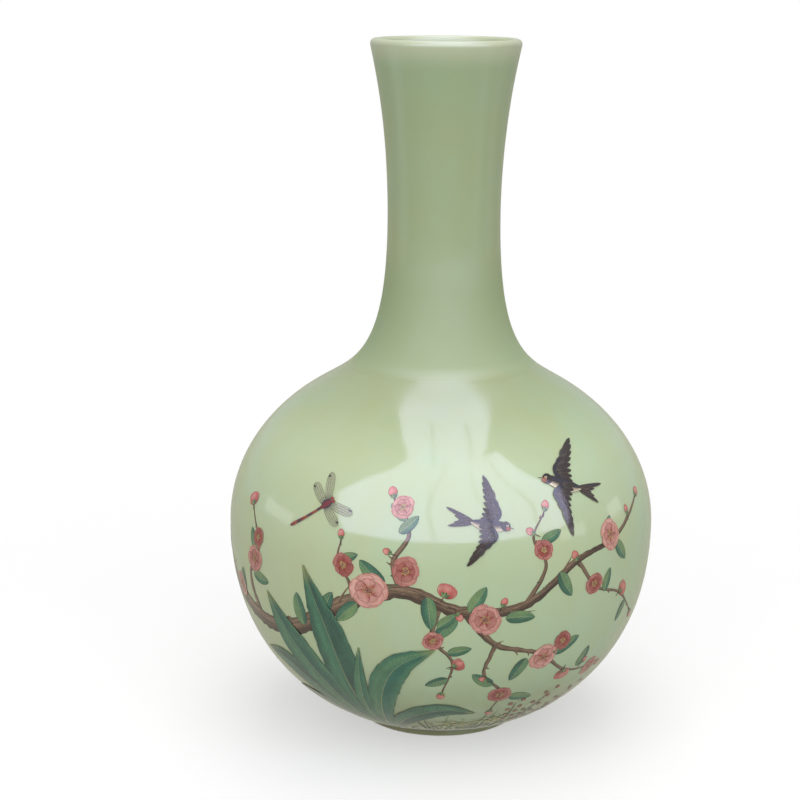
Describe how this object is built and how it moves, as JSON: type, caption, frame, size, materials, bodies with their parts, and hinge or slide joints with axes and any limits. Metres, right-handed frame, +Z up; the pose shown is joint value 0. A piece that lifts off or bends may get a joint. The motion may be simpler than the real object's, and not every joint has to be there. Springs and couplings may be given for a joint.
{
  "type": "vase",
  "caption": "Celestial globe vase in celadon-glazed porcelain: a round globe body on a low foot ring, with a tall cylindrical neck that flares to a rounded open mouth.",
  "frame": {"origin": "centre of the foot ring, on the table that the vase stands on", "axes": "+Z up along the vase's axis of revolution; the side with the main painting faces -Y"},
  "size_m": [0.218, 0.218, 0.35],
  "materials": {
    "biscuit_porcelain": "bare, matt, warm off-white",
    "luting_slip": "bare, matt, hidden inside the wall",
    "celadon_glaze": "glossy pale green glaze"
  },
  "bodies": {
    "root": {"foot_ring": "biscuit_porcelain", "foot_slip_joint": "luting_slip", "lower_globe": "biscuit_porcelain", "waist_slip_joint": "luting_slip", "upper_globe": "biscuit_porcelain", "neck_slip_joint": "luting_slip", "neck": "biscuit_porcelain", "outer_glaze": "celadon_glaze", "inner_glaze": "celadon_glaze", "base_glaze": "celadon_glaze"}
  },
  "joints": []
}
